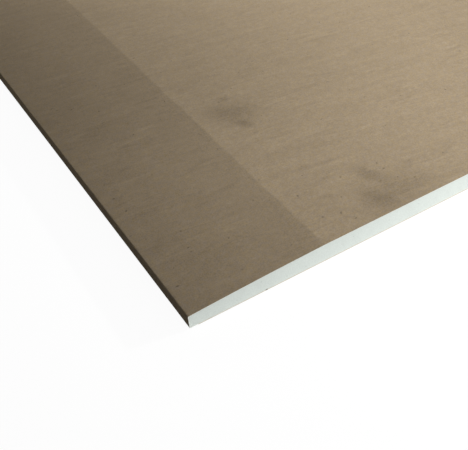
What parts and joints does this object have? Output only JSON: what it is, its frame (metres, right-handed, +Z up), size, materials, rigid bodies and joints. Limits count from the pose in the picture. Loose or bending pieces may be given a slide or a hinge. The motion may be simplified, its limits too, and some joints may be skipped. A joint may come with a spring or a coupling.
{
  "type": "drywall sheet",
  "caption": "Flat plasterboard sheet with a white gypsum core, brown paper facings wrapped round its tapered long edges and square cut ends, for lining walls and ceilings.",
  "frame": {"origin": "middle of the sheet's back, on the surface that it lies on", "axes": "+X across the sheet's width, +Y along its length, +Z up out of its face"},
  "size_m": [1.2, 2.4, 0.0095],
  "materials": {
    "gypsum": "matte white set plaster, finely granular where it is cut",
    "face_paper": "matte grey-brown recycled kraft paper with fine fibres and flecks",
    "back_paper": "matte pale buff recycled paper, cream where its edge is cut"
  },
  "bodies": {
    "root": {"gypsum_core": "gypsum", "face_paper": "face_paper", "back_paper": "back_paper"}
  },
  "joints": []
}
